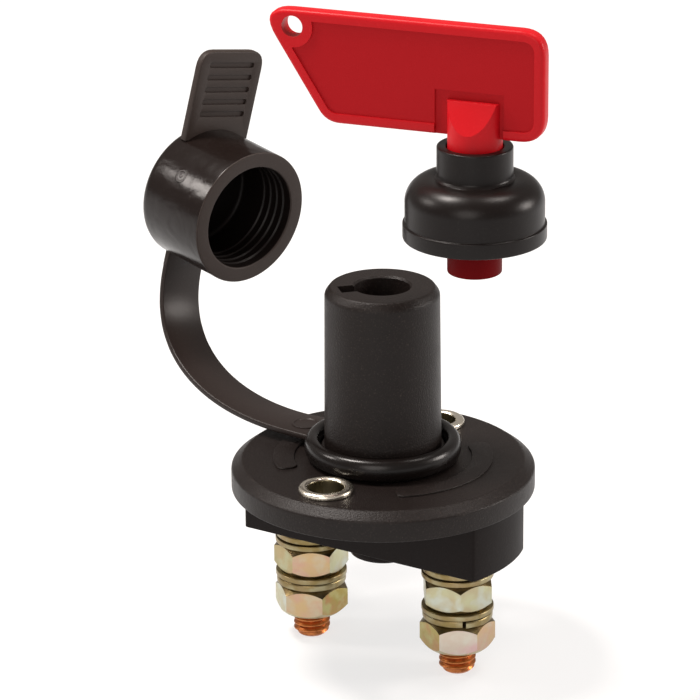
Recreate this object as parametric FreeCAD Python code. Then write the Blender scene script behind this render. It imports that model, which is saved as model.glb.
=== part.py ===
"""Splash-proof battery isolator: flanged switch body, two M10 studs, tethered dust cap and removable key.

Millimetres. The origin is the centre of the flange's top face, on the barrel's axis; +Z runs up the barrel.
The two studs stand along X and the two fixing eyelets along Y. The key hovers beside the barrel.
"""

import FreeCAD
import Part
import math
import os

from FreeCAD import Matrix, Rotation, Vector

# flange and barrel
FLANGE_R = 39.35
FLANGE_TOP_R = 36.5
FLANGE_BEVEL_H = 2.1
FLANGE_T = 7.5
ROOT_R, ROOT_H = 16.0, 3.5
BARREL_FOOT_R, BARREL_TOP_R, BARREL_FACE_R = 15.15, 14.8, 13.4
BARREL_H, BARREL_BEVEL_H = 47.0, 1.9
PAD_IN_R, PAD_OUT_R, PAD_H, PAD_HALF_DEG, PAD_CORNER_R = 23.0, 28.5, 0.5, 51.0, 2.2

# keyhole: round bore, side slot for the key's lug, and the track in which the lug turns
BORE_R = 7.2
SLOT_W, SLOT_REACH, SLOT_DEG = 4.8, 11.3, 227.0
TRACK_Z0, TRACK_Z1 = 34.5, 42.3
CHAMBER_R, CHAMBER_TOP = 10.5, 22.3

# terminal block and its inner chamber
BLOCK_W, BLOCK_END_R, BLOCK_BOTTOM = 25.6, 37.1, -22.8
BOSS_R, BOSS_H = 9.0, 3.9
RECESS_GAP = 0.2
POCKET_HALF_W, POCKET_HALF_L, POCKET_FLOOR = 6.8, 29.5, -15.0
HEAD_POCKET_R = 8.6
SPRING_WELL_R, SPRING_WELL_FLOOR = 5.8, -22.4
GASKET_T, GASKET_INSET = 0.8, 1.0

# studs, washers and nuts, M10
STUD_X, STUD_R, STUD_TIP, STUD_TIP_BEVEL = 22.5, 5.0, -54.7, 1.4
FREE_END_R = 4.8
HEAD_R, HEAD_T = 8.0, 2.5
WASHER_R, WASHER_HOLE_R, WASHER_T = 9.4, 5.25, 1.5
LOCK_R, LOCK_HOLE_R, LOCK_T, LOCK_GAP, LOCK_LEAN_DEG = 9.15, 5.1, 2.2, 1.0, 25.0
NUT_AF, NUT_H = 17.0, 8.0
NUT_FACE_SHARE, NUT_CHAMFER_DEG = 0.92, 42.0
UPPER_NUT_DEG = {"left": 32.4, "right": 5.4}
LOWER_NUT_DEG = {"left": 19.4, "right": 32.4}
CLAMP_SPLIT_DEG = {"left": 100.0, "right": 100.0}
TERMINAL_SPLIT_DEG = {"left": 150.0, "right": 312.0}

# fixing eyelets
EYELET_Y = 27.5
EYELET_RIM_R, EYELET_RIM_H = 7.0, 1.6
EYELET_BORE_R, EYELET_TUBE_R = 4.6, 5.2

# housing screws
SCREW_X, SCREW_Y, SCREW_R, SCREW_TOP = 12.3, 9.2, 1.75, -2.0
SCREW_HEAD_R, SCREW_HEAD_H = 2.9, 2.4
SCREW_SLOT_W, SCREW_SLOT_DEPTH = 0.9, 0.8

# rotor, pusher, bridge and springs
ROTOR_R, ROTOR_BOTTOM, ROTOR_TOP = 10.2, 0.3, 22.0
ROTOR_BORE_R, ROTOR_BORE_TOP = 5.0, 12.0
TONGUE_W, TONGUE_L, TONGUE_TOP = 3.0, 10.0, 26.3
ORING_Z, ORING_R, ORING_MID_R = 17.0, 0.9, 9.35
ORING_GROOVE_R, ORING_GROOVE_H = 8.4, 2.0
PUSHER_STEM_R, PUSHER_STEM_TOP = 4.7, 10.0
PUSHER_DISC_R, PUSHER_DISC_T = 9.6, 2.3
SHANK, SHANK_BOTTOM = 6.0, -12.8
CLIP_R, CLIP_T, CLIP_NECK, CLIP_TOP = 5.2, 0.8, 4.8, -9.5
BRIDGE_L, BRIDGE_W, BRIDGE_T, BRIDGE_BOTTOM = 56.0, 12.0, 1.8, -9.45
BRIDGE_HOLE, BRIDGE_CORNER_R = 6.5, 2.0
SPRING_SLACK = 0.05
CONTACT_SPRING = {"wire_r": 0.6, "coil_r": 6.1, "turns": 3.0}
RETURN_SPRING = {"wire_r": 0.5, "coil_r": 3.9, "turns": 6.0}

# tether: collar, strap and dust cap
COLLAR_IN_R, COLLAR_LIP_R, COLLAR_R, COLLAR_CREST_R = 16.3, 19.3, 20.3, 18.0
COLLAR_Z0, COLLAR_WAIST_Z, COLLAR_WIDE_Z, COLLAR_TOP_Z = 0.3, 1.6, 3.9, 6.3
STRAP_W, STRAP_T, STRAP_DEG, STRAP_Z = 13.3, 1.6, 177.0, 2.9
STRAP_ROOT_R, STRAP_ROOT_PULL, STRAP_CAP_PULL = 27.0, 28.0, 24.0
STRAP_SPANS = 14
MARK_AT_R, MARK_R, MARK_W, MARK_DEPTH = 24.6, 3.7, 0.5, 0.25
CAP_END = Vector(-76.0, 26.2, 52.9)
CAP_TURN_DEG, CAP_TILT_DEG, CAP_ROLL_DEG = -16.7, -6.1, 11.5
CAP_R, CAP_DEPTH, CAP_EDGE_R = 18.2, 24.0, 2.4
CAP_MOUTH_R, CAP_HOLLOW_DEPTH = 14.1, 20.0
SEAL_RIBS, SEAL_RIB_H, SEAL_RIB_W, SEAL_RIB_PITCH, SEAL_RIB_FROM_RIM = 4, 0.45, 1.0, 2.6, 3.2
LUG_LENGTH, LUG_Z = 3.0, 1.6
TAB_W, TAB_REACH, TAB_Z, TAB_T, TAB_CORNER_R = 22.0, 40.0, 2.7, 2.3, 3.2
GROOVES, GROOVE_L, GROOVE_W, GROOVE_PITCH, GROOVE_FROM_END, GROOVE_DEPTH = 5, 15.6, 1.5, 3.41, 3.9, 0.6

# key and its boot, standing at the hover place: HOVER is the centre of the boot's open end
HOVER = Vector(32.6, -8.9, 68.5)
FLAG_DEG = 192.0
BOOT_SKIRT_R, BOOT_SKIRT_H, BOOT_DOME_R, BOOT_INNER_R = 17.95, 4.05, 17.4, 15.3
BOOT_SHOULDER_Z, BOOT_DOME_TOP_Z = 9.7, 15.6
BOOT_NECK_R, BOOT_NECK_IN_R, BOOT_H, BOOT_WALL = 9.5, 7.15, 23.85, 2.1
BOOT_DOME_MID_SHARE, BOOT_DOME_MID_RISE = 0.80, 0.66
BOOT_LIP, BOOT_LIP_H = 0.4, 0.5
STEM_R, STEM_TIP = 6.85, -9.0
STEM_FACE_TOP, STEM_FACE_BOTTOM, STEM_FACE_HALF = 35.4, 28.0, 2.6
DRIVE_SLOT_W, DRIVE_SLOT_L, DRIVE_SLOT_DEPTH = 3.5, 10.6, 3.0
KEY_LUG_W, KEY_LUG_REACH, KEY_LUG_Z0, KEY_LUG_H = 4.4, 11.0, 1.8, 6.0
FLAG_Z0, FLAG_TOP, FLAG_T = 26.3, 54.6, 4.4
FLAG_NEAR, FLAG_FAR_TOP, FLAG_FAR_BOTTOM = -18.4, 56.3, 38.5
FLAG_CORNER_R, FLAG_TIP_R, FLAG_BORDER, FLAG_RECESS = 5.2, 5.5, 2.6, 0.5
FLAG_HOLE_R, FLAG_HOLE_X, FLAG_HOLE_Z, FLAG_HOLE_RING = 2.75, 47.0, 50.3, 2.6
WINDOW_FAR, WINDOW_NEAR, WINDOW_TOP, WINDOW_RECESS = 9.9, -7.95, 37.8, 1.1

Z = Vector(0, 0, 1)
TOLERANCE = 1e-3


def cylinder(radius, z0, z1, x=0.0, y=0.0):
    return Part.makeCylinder(radius, z1 - z0, Vector(x, y, z0))


def block(size_x, size_y, z0, z1, x=0.0, y=0.0):
    return Part.makeBox(size_x, size_y, z1 - z0, Vector(x - size_x / 2, y - size_y / 2, z0))


def outline_face(steps, place):
    """Closed face from a list of points; a step given as (middle, end) is an arc."""
    edges, here = [], steps[0]
    for step in steps[1:] + [steps[0]]:
        if isinstance(step[0], tuple):
            middle, end = step
            edges.append(Part.Arc(place(here), place(middle), place(end)).toShape())
            here = end
        else:
            edges.append(Part.LineSegment(place(here), place(step)).toShape())
            here = step
    return Part.Face(Part.Wire(edges))


def turned(steps):
    """Solid of revolution about Z from an outline of (radius, height) points."""
    face = outline_face(steps, lambda p: Vector(p[0], 0, p[1]))
    return face.revolve(Vector(0, 0, 0), Z, 360)


def spun(shape, degrees):
    turned_copy = shape.copy()
    turned_copy.rotate(Vector(0, 0, 0), Z, degrees)
    return turned_copy


def moved(shape, x=0.0, y=0.0, z=0.0):
    shifted = shape.copy()
    shifted.translate(Vector(x, y, z))
    return shifted


def polar(radius, degrees, z=0.0):
    angle = math.radians(degrees)
    return Vector(radius * math.cos(angle), radius * math.sin(angle), z)


def sector(r_in, r_out, z0, z1, from_deg, to_deg, corner_r=0.0):
    """Ring sector, with its four upright corners rounded when corner_r is given."""
    mid = (from_deg + to_deg) / 2
    wire = Part.Wire([
        Part.Arc(polar(r_out, from_deg, z0), polar(r_out, mid, z0), polar(r_out, to_deg, z0)).toShape(),
        Part.LineSegment(polar(r_out, to_deg, z0), polar(r_in, to_deg, z0)).toShape(),
        Part.Arc(polar(r_in, to_deg, z0), polar(r_in, mid, z0), polar(r_in, from_deg, z0)).toShape(),
        Part.LineSegment(polar(r_in, from_deg, z0), polar(r_out, from_deg, z0)).toShape(),
    ])
    solid = Part.Face(wire).extrude(Vector(0, 0, z1 - z0))
    return rounded_uprights(solid, corner_r) if corner_r else solid


def upright_edges(solid):
    return [e for e in solid.Edges if abs(abs(e.tangentAt(e.FirstParameter).z) - 1) < TOLERANCE]


def rounded_uprights(solid, radius):
    return solid.makeFillet(radius, upright_edges(solid))


# ---- switch body ----

def mounting_eyelet(y):
    """Straight tube through the flange with a rolled rim on top."""
    bore, rim, top = EYELET_BORE_R, EYELET_RIM_R, EYELET_RIM_H
    body = turned([
        (bore, -FLANGE_T), (EYELET_TUBE_R, -FLANGE_T), (EYELET_TUBE_R, 0), (rim, 0), (rim, top / 2),
        (((bore + rim) / 2, top), (bore, top / 2)),
    ])
    return moved(body, y=y)


def barrel_and_flange():
    return turned([
        (0, -FLANGE_T), (FLANGE_R, -FLANGE_T), (FLANGE_R, -FLANGE_BEVEL_H), (FLANGE_TOP_R, 0),
        (ROOT_R, 0), (ROOT_R, ROOT_H), (BARREL_FOOT_R, ROOT_H), (BARREL_TOP_R, BARREL_H - BARREL_BEVEL_H),
        (BARREL_FACE_R, BARREL_H), (0, BARREL_H),
    ])


def keyhole():
    slot = Part.makeBox(SLOT_REACH, SLOT_W, BARREL_H - TRACK_Z0 + 1, Vector(0, -SLOT_W / 2, TRACK_Z0))
    lug_half_deg = math.degrees(math.asin(SLOT_W / 2 / SLOT_REACH))
    track = sector(BORE_R - 1, SLOT_REACH, TRACK_Z0, TRACK_Z1, SLOT_DEG - lug_half_deg,
                   SLOT_DEG + 90 + lug_half_deg)
    return cylinder(BORE_R, CHAMBER_TOP - 1, BARREL_H + 1).fuse([spun(slot, SLOT_DEG), track])


def upper_housing():
    pads = []
    for side in (0, 180):
        ends = (side - PAD_HALF_DEG, side + PAD_HALF_DEG)
        pads.append(sector(PAD_IN_R, PAD_OUT_R, -PAD_H, PAD_H, *ends, PAD_CORNER_R))
    body = barrel_and_flange().fuse(pads)
    cuts = [keyhole(), cylinder(CHAMBER_R, -FLANGE_T - 1, CHAMBER_TOP)]
    cuts += [cylinder(EYELET_TUBE_R, -FLANGE_T - 1, 1, y=y) for y in (-EYELET_Y, EYELET_Y)]
    cuts.append(block_plan(-FLANGE_T - 1, -FLANGE_T + GASKET_T, -RECESS_GAP))
    cuts += [cylinder(SCREW_R, -FLANGE_T - 1, SCREW_TOP, x, y) for x, y in screw_places()]
    return body.cut(cuts)


def screw_places():
    return [(sx * SCREW_X, sy * SCREW_Y) for sx in (-1, 1) for sy in (-1, 1)]


def block_plan(z0, z1, inset=0.0):
    """Plan shape of the terminal block: a bar whose ends follow the flange's edge."""
    bar = block(2 * FLANGE_R, BLOCK_W - 2 * inset, z0, z1)
    return bar.common(cylinder(BLOCK_END_R - inset, z0, z1))


def contact_pocket(z0, z1):
    pocket = block(2 * POCKET_HALF_L, 2 * POCKET_HALF_W, z0, z1)
    return pocket.fuse([cylinder(HEAD_POCKET_R, z0, z1, x) for x in (-STUD_X, STUD_X)])


def terminal_block():
    body = block_plan(BLOCK_BOTTOM, -FLANGE_T).fuse(cylinder(BOSS_R, BLOCK_BOTTOM - BOSS_H, BLOCK_BOTTOM))
    cuts = [contact_pocket(POCKET_FLOOR, -FLANGE_T),
            cylinder(SPRING_WELL_R, SPRING_WELL_FLOOR, POCKET_FLOOR + 1)]
    cuts += [cylinder(STUD_R, BLOCK_BOTTOM - 1, POCKET_FLOOR + 1, x) for x in (-STUD_X, STUD_X)]
    for x, y in screw_places():
        cuts.append(cylinder(SCREW_R, BLOCK_BOTTOM - 1, -FLANGE_T, x, y))
        cuts.append(cylinder(SCREW_HEAD_R, BLOCK_BOTTOM - BOSS_H - 1, BLOCK_BOTTOM + SCREW_HEAD_H, x, y))
    return body.cut(cuts)


def block_gasket():
    """Sheet that fills the shallow recess in the flange's back, above the block."""
    low, high = -FLANGE_T, -FLANGE_T + GASKET_T
    cuts = [contact_pocket(low - 1, high + 1)]
    cuts += [cylinder(SCREW_R, low - 1, high + 1, x, y) for x, y in screw_places()]
    return block_plan(low, high, GASKET_INSET).cut(cuts)


def housing_screw(x, y):
    slot = block(2 * SCREW_HEAD_R, SCREW_SLOT_W, BLOCK_BOTTOM - 0.1, BLOCK_BOTTOM + SCREW_SLOT_DEPTH, x, y)
    head = cylinder(SCREW_HEAD_R, BLOCK_BOTTOM, BLOCK_BOTTOM + SCREW_HEAD_H, x, y).cut(slot)
    return head.fuse(cylinder(SCREW_R, BLOCK_BOTTOM + SCREW_HEAD_H, SCREW_TOP, x, y)).removeSplitter()


# ---- studs and their fasteners ----

def terminal_stud(x):
    """Round stud with a wide contact head; the free end below the last nut is a little thinner."""
    last_nut_bottom = fastener_stack()[-1] - NUT_H
    body = turned([
        (0, STUD_TIP), (FREE_END_R - STUD_TIP_BEVEL, STUD_TIP), (FREE_END_R, STUD_TIP + STUD_TIP_BEVEL),
        (FREE_END_R, last_nut_bottom), (STUD_R, last_nut_bottom), (STUD_R, POCKET_FLOOR),
        (HEAD_R, POCKET_FLOOR), (HEAD_R, POCKET_FLOOR + HEAD_T), (0, POCKET_FLOOR + HEAD_T),
    ])
    return moved(body, x=x)


def flat_washer(x, top):
    return cylinder(WASHER_R, top - WASHER_T, top, x).cut(cylinder(WASHER_HOLE_R, top - WASHER_T, top, x))


def spring_washer(x, top, split_deg):
    """Split ring; the split leans, as on a coiled washer."""
    ring = cylinder(LOCK_R, top - LOCK_T, top).cut(cylinder(LOCK_HOLE_R, top - LOCK_T, top))
    half, drift = LOCK_GAP / 2, LOCK_T * math.tan(math.radians(LOCK_LEAN_DEG)) / 2
    low = top - LOCK_T
    corners = [Vector(0, -half - drift, low), Vector(0, half - drift, low),
               Vector(0, half + drift, top), Vector(0, -half + drift, top)]
    cutter = Part.Face(Part.makePolygon(corners + [corners[0]])).extrude(Vector(LOCK_R + 1, 0, 0))
    return moved(ring.cut(spun(cutter, split_deg)), x=x)


def hex_nut(x, top, corner_deg):
    corner_r = NUT_AF / 2 / math.cos(math.radians(30))
    corners = [polar(corner_r, corner_deg + 60 * i, top - NUT_H) for i in range(7)]
    prism = Part.Face(Part.makePolygon(corners)).extrude(Vector(0, 0, NUT_H))
    face_r, low = NUT_AF / 2 * NUT_FACE_SHARE, top - NUT_H
    drop = (corner_r - face_r) * math.tan(math.radians(NUT_CHAMFER_DEG))
    envelope = turned([
        (0, low), (face_r, low), (corner_r, low + drop), (corner_r, top - drop), (face_r, top), (0, top),
    ])
    return moved(prism.common(envelope).cut(cylinder(STUD_R, top - NUT_H, top)), x=x)


def fastener_stack():
    """Heights of the tops of the seven fasteners on a stud, from the block down."""
    tops, top = [], BLOCK_BOTTOM
    for height in (WASHER_T, LOCK_T, WASHER_T, NUT_H, WASHER_T, LOCK_T, NUT_H):
        tops.append(top)
        top -= height
    return tops


# ---- inside ----

def rotor():
    body = cylinder(ROTOR_R, ROTOR_BOTTOM, ROTOR_TOP)
    tongue = block(TONGUE_L, TONGUE_W, ROTOR_TOP - 0.5, TONGUE_TOP)
    half = ORING_GROOVE_H / 2
    groove = cylinder(ROTOR_R + 1, ORING_Z - half, ORING_Z + half)
    groove = groove.cut(cylinder(ORING_GROOVE_R, ORING_Z - half, ORING_Z + half))
    bore = cylinder(ROTOR_BORE_R, ROTOR_BOTTOM - 1, ROTOR_BORE_TOP)
    return body.fuse(spun(tongue, SLOT_DEG)).cut([groove, bore]).removeSplitter()


def rotor_seal():
    return Part.makeTorus(ORING_MID_R, ORING_R, Vector(0, 0, ORING_Z))


def pusher():
    body = cylinder(PUSHER_STEM_R, -0.5, PUSHER_STEM_TOP)
    shank = block(SHANK, SHANK, SHANK_BOTTOM, -PUSHER_DISC_T)
    body = body.fuse([cylinder(PUSHER_DISC_R, -PUSHER_DISC_T, 0), shank])
    neck = block(SHANK + 1, SHANK + 1, CLIP_TOP - CLIP_T, CLIP_TOP)
    neck = neck.cut(block(CLIP_NECK, CLIP_NECK, CLIP_TOP - CLIP_T, CLIP_TOP))
    return body.cut(neck).removeSplitter()


def retaining_clip():
    disc = cylinder(CLIP_R, CLIP_TOP - CLIP_T, CLIP_TOP)
    mouth = block(2 * CLIP_R, CLIP_NECK, CLIP_TOP - CLIP_T, CLIP_TOP, x=CLIP_R - CLIP_NECK / 2)
    return disc.cut(mouth)


def contact_bridge():
    top = BRIDGE_BOTTOM + BRIDGE_T
    hole = block(BRIDGE_HOLE, BRIDGE_HOLE, BRIDGE_BOTTOM, top)
    bar = block(BRIDGE_L, BRIDGE_W, BRIDGE_BOTTOM, top).cut(hole)
    return rounded_uprights_at(bar, BRIDGE_CORNER_R, BRIDGE_L / 2)


def rounded_uprights_at(solid, radius, x):
    """Round only the upright edges that stand at |x|."""
    ends = [e for e in upright_edges(solid) if abs(abs(e.CenterOfMass.x) - x) < TOLERANCE]
    return solid.makeFillet(radius, ends)


def coil_spring(z0, z1, wire_r, coil_r, turns):
    height = z1 - z0 - 2 * wire_r
    pitch = height / turns
    helix = Part.makeHelix(pitch, height, coil_r)
    heading = Vector(0, 1, pitch / math.tau / coil_r)
    section = Part.Wire(Part.makeCircle(wire_r, Vector(coil_r, 0, 0), heading))
    spring = Part.Wire(helix).makePipeShell([section], True, True)
    return moved(spring, z=z0 + wire_r)


# ---- tether ----

def tether_collar():
    """Rolled ring on a narrower foot, with the flat root tab of the strap on one side."""
    shoulder = math.sqrt(0.5)
    outer_bow = (COLLAR_CREST_R + (COLLAR_R - COLLAR_CREST_R) * shoulder,
                 COLLAR_WIDE_Z + (COLLAR_TOP_Z - COLLAR_WIDE_Z) * shoulder)
    inner_bow = (COLLAR_CREST_R - (COLLAR_CREST_R - COLLAR_IN_R) * shoulder,
                 COLLAR_WIDE_Z + (COLLAR_TOP_Z - COLLAR_WIDE_Z) * shoulder)
    ring = turned([
        (COLLAR_IN_R, COLLAR_Z0), (COLLAR_LIP_R, COLLAR_Z0), (COLLAR_LIP_R, COLLAR_WAIST_Z),
        (COLLAR_R, COLLAR_WIDE_Z), (outer_bow, (COLLAR_CREST_R, COLLAR_TOP_Z)),
        (inner_bow, (COLLAR_IN_R, COLLAR_WIDE_Z)),
    ])
    low, high = STRAP_Z - STRAP_T / 2, STRAP_Z + STRAP_T / 2
    inner = (COLLAR_IN_R + COLLAR_LIP_R) / 2
    root = Part.makeBox(STRAP_ROOT_R - inner, STRAP_W, STRAP_T, Vector(inner, -STRAP_W / 2, low))
    mark = cylinder(MARK_R, high - MARK_DEPTH, high + 1, MARK_AT_R)
    mark = mark.cut(cylinder(MARK_R - MARK_W, low, high + 1, MARK_AT_R))
    return ring.fuse(spun(root.cut(mark), STRAP_DEG))


def cap_axes():
    """Opening direction, tab direction and the strap's width direction of the dust cap."""
    turn, tilt = math.radians(CAP_TURN_DEG), math.radians(CAP_TILT_DEG)
    opening = Vector(math.cos(turn) * math.cos(tilt), math.sin(turn) * math.cos(tilt), math.sin(tilt))
    upright = (Z - opening * opening.z).normalize()
    tab = Rotation(opening, CAP_ROLL_DEG).inverted().multVec(upright)
    return opening, tab, opening.cross(tab).normalize()


def cap_placed(shape):
    """Put a shape drawn with its opening along +Z and its tab along +X at the cap's place."""
    opening, tab, across = cap_axes()
    matrix = Matrix(tab.x, across.x, opening.x, CAP_END.x,
                    tab.y, across.y, opening.y, CAP_END.y,
                    tab.z, across.z, opening.z, CAP_END.z, 0, 0, 0, 1)
    placed = shape.copy()
    placed.Placement = FreeCAD.Placement(matrix).multiply(placed.Placement)
    return placed


def cap_shell():
    edge = CAP_EDGE_R * (1 - math.sqrt(0.5))
    cup = turned([
        (0, 0), (CAP_R - CAP_EDGE_R, 0), ((CAP_R - edge, edge), (CAP_R, CAP_EDGE_R)),
        (CAP_R, CAP_DEPTH), (CAP_MOUTH_R, CAP_DEPTH), (CAP_MOUTH_R, CAP_DEPTH - CAP_HOLLOW_DEPTH),
        (0, CAP_DEPTH - CAP_HOLLOW_DEPTH),
    ])
    ribs = []
    for i in range(SEAL_RIBS):
        z = CAP_DEPTH - SEAL_RIB_FROM_RIM - i * SEAL_RIB_PITCH
        low, high = z - SEAL_RIB_W / 2, z + SEAL_RIB_W / 2
        ribs.append(turned([
            (CAP_R - 1, low), (CAP_R - 1, high), (CAP_MOUTH_R, high), (CAP_MOUTH_R - SEAL_RIB_H, z),
            (CAP_MOUTH_R, low),
        ]))
    return cup.fuse(ribs)


def pull_tab():
    inner = CAP_MOUTH_R - 1
    tab = Part.makeBox(TAB_REACH - inner, TAB_W, TAB_T, Vector(inner, -TAB_W / 2, TAB_Z))
    tab = tab.makeFillet(TAB_CORNER_R, [e for e in upright_edges(tab) if e.CenterOfMass.x > TAB_REACH - 1])
    grooves = []
    for i in range(GROOVES):
        x = TAB_REACH - GROOVE_FROM_END - i * GROOVE_PITCH
        corner = Vector(x - GROOVE_W / 2, -GROOVE_L / 2, TAB_Z + TAB_T - GROOVE_DEPTH)
        grooves.append(Part.makeBox(GROOVE_W, GROOVE_L, GROOVE_DEPTH + 1, corner))
    return tab.cut(grooves)


def dust_cap():
    lug = Part.makeBox(CAP_R, STRAP_W, STRAP_T, Vector(-CAP_R - LUG_LENGTH, -STRAP_W / 2, LUG_Z))
    hollow = cylinder(CAP_MOUTH_R, CAP_DEPTH - CAP_HOLLOW_DEPTH, CAP_DEPTH + 1)
    solid = cap_shell().fuse([pull_tab().cut(hollow), lug])
    return cap_placed(solid.removeSplitter())


def strap_stations():
    """Centre and width direction along the strap, from the collar's root tab to the cap's lug."""
    opening, tab, across = cap_axes()
    start = polar(STRAP_ROOT_R, STRAP_DEG, STRAP_Z)
    lug_mid = LUG_Z + STRAP_T / 2
    end = CAP_END - tab * (CAP_R + LUG_LENGTH) + opening * lug_mid
    pull_a = start + polar(STRAP_ROOT_PULL, STRAP_DEG)
    pull_b = end - tab * STRAP_CAP_PULL
    curve = Part.BezierCurve()
    curve.setPoles([start, pull_a, pull_b, end])
    width_a = polar(1, STRAP_DEG - 90)
    width_b = across if across.dot(width_a) > 0 else across * -1
    stations = []
    for i in range(STRAP_SPANS + 1):
        share = i / STRAP_SPANS
        tangent = curve.tangent(share)[0]
        width = width_a * (1 - share) + width_b * share
        width = (width - tangent * width.dot(tangent)).normalize()
        stations.append((curve.value(share), tangent, width))
    return stations


def tether_strap():
    sections = []
    for centre, tangent, width in strap_stations():
        thick = tangent.cross(width).normalize() * (STRAP_T / 2)
        side = width * (STRAP_W / 2)
        left, right = centre - side, centre + side
        corners = [right + thick, left + thick, left - thick, right - thick]
        sections.append(Part.makePolygon(corners + [corners[0]]))
    return Part.makeLoft(sections, True, True)


# ---- key ----

def key_boot():
    wall = BOOT_WALL
    neck_z = BOOT_DOME_TOP_Z
    bow_r = BOOT_NECK_R + (BOOT_DOME_R - BOOT_NECK_R) * BOOT_DOME_MID_SHARE
    bow_z = BOOT_SHOULDER_Z + (neck_z - BOOT_SHOULDER_Z) * BOOT_DOME_MID_RISE
    body = turned([
        (BOOT_INNER_R, 0), (BOOT_SKIRT_R - BOOT_LIP, 0), (BOOT_SKIRT_R, BOOT_LIP_H),
        (BOOT_SKIRT_R, BOOT_SKIRT_H - BOOT_LIP), (BOOT_SKIRT_R - BOOT_LIP, BOOT_SKIRT_H),
        (BOOT_DOME_R, BOOT_SKIRT_H), (BOOT_DOME_R, BOOT_SHOULDER_Z),
        ((bow_r, bow_z), (BOOT_NECK_R, neck_z)), (BOOT_NECK_R, BOOT_H),
        (BOOT_NECK_IN_R, BOOT_H), (BOOT_NECK_IN_R, neck_z - wall),
        ((bow_r - wall, bow_z - wall), (BOOT_INNER_R, BOOT_SHOULDER_Z - wall)),
    ])
    return moved(body, HOVER.x, HOVER.y, HOVER.z)


def flag_plan(inset, y0, y1):
    """Plate of the flag's outline pulled in by inset, between y0 and y1; X runs along the flag."""
    slope = (FLAG_FAR_TOP - FLAG_FAR_BOTTOM) / (FLAG_TOP - FLAG_Z0)
    reach = inset * math.sqrt(1 + slope * slope)
    low, high = FLAG_Z0 + inset, FLAG_TOP - inset
    corners = [
        Vector(FLAG_NEAR + inset, y0, low), Vector(FLAG_FAR_BOTTOM + slope * inset - reach, y0, low),
        Vector(FLAG_FAR_TOP - slope * inset - reach, y0, high), Vector(FLAG_NEAR + inset, y0, high),
    ]
    plate = Part.Face(Part.makePolygon(corners + [corners[0]])).extrude(Vector(0, y1 - y0, 0))
    along_y = [e for e in plate.Edges if abs(abs(e.tangentAt(e.FirstParameter).y) - 1) < TOLERANCE]
    tip = [e for e in along_y if e.CenterOfMass.z > high - 0.1 and e.CenterOfMass.x > FLAG_FAR_BOTTOM]
    rest = [e for e in along_y if not any(e.isSame(t) for t in tip)]
    plate = plate.makeFillet(max(FLAG_TIP_R - inset, 1.0), tip)
    others = [e for e in plate.Edges
              if any((e.CenterOfMass - r.CenterOfMass).Length < TOLERANCE for r in rest)]
    return plate.makeFillet(max(FLAG_CORNER_R - inset, 1.0), others)


def flag():
    plate = flag_plan(0, -FLAG_T / 2, FLAG_T / 2)
    cuts = []
    window_l, window_h = WINDOW_FAR - WINDOW_NEAR, WINDOW_TOP - FLAG_Z0 + 1
    for side in (-1, 1):
        panel_y, window_y = side * (FLAG_T / 2 - FLAG_RECESS), side * (FLAG_T / 2 - WINDOW_RECESS)
        outside = side * FLAG_T
        low, high = min(panel_y, outside), max(panel_y, outside)
        ring_r = FLAG_HOLE_R + FLAG_HOLE_RING
        hole_ring = Part.makeCylinder(ring_r, high - low, flag_hole(low), Vector(0, 1, 0))
        cuts.append(flag_plan(FLAG_BORDER, low, high).cut(hole_ring))
        corner = Vector(WINDOW_NEAR, min(window_y, outside), FLAG_Z0 - 1)
        cuts.append(Part.makeBox(window_l, abs(outside - window_y), window_h, corner))
    cuts.append(Part.makeCylinder(FLAG_HOLE_R, FLAG_T + 2, flag_hole(-FLAG_T / 2 - 1), Vector(0, 1, 0)))
    return plate.cut(cuts)


def flag_hole(y):
    return Vector(FLAG_HOLE_X, y, FLAG_HOLE_Z)


def key_stem():
    """Round stem whose top is cut to a wedge-shaped face on each side of the flag."""
    stem = cylinder(STEM_R, STEM_TIP, STEM_FACE_TOP)
    near, far = -2 * STEM_R, 2 * STEM_R
    for side in (-1, 1):
        corners = [(side * STEM_R, STEM_FACE_BOTTOM), (side * STEM_FACE_HALF, STEM_FACE_TOP),
                   (side * far, STEM_FACE_TOP), (side * far, STEM_FACE_BOTTOM)]
        side_face = outline_face(corners, lambda p: Vector(near, p[0], p[1]))
        wedge = side_face.extrude(Vector(far - near, 0, 0))
        stem = stem.cut(wedge)
    lug = Part.makeBox(KEY_LUG_REACH, KEY_LUG_W, KEY_LUG_H, Vector(0, -KEY_LUG_W / 2, KEY_LUG_Z0))
    slot = block(DRIVE_SLOT_L, DRIVE_SLOT_W, STEM_TIP - 1, STEM_TIP + DRIVE_SLOT_DEPTH)
    lug_deg = SLOT_DEG - FLAG_DEG
    return stem.fuse(spun(lug, lug_deg)).cut(spun(slot, lug_deg))


def key():
    solid = flag().fuse(key_stem()).removeSplitter()
    return moved(spun(solid, FLAG_DEG), HOVER.x, HOVER.y, HOVER.z)


# ---- all nodes ----

def stud_nodes():
    tops = fastener_stack()
    nodes, both = {}, {"left": -STUD_X, "right": STUD_X}
    for side, x in both.items():
        nodes["stud_" + side] = terminal_stud(x)
        nodes["clamp_nut_" + side] = hex_nut(x, tops[3], UPPER_NUT_DEG[side])
        nodes["terminal_nut_" + side] = hex_nut(x, tops[6], LOWER_NUT_DEG[side])
    for name, i in (("base_washers", 0), ("clamp_washers", 2), ("terminal_washers", 4)):
        nodes[name] = Part.makeCompound([flat_washer(x, tops[i]) for x in both.values()])
    for name, i, splits in (("clamp_spring_washers", 1, CLAMP_SPLIT_DEG),
                            ("terminal_spring_washers", 5, TERMINAL_SPLIT_DEG)):
        rings = [spring_washer(x, tops[i], splits[side]) for side, x in both.items()]
        nodes[name] = Part.makeCompound(rings)
    return nodes


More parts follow.
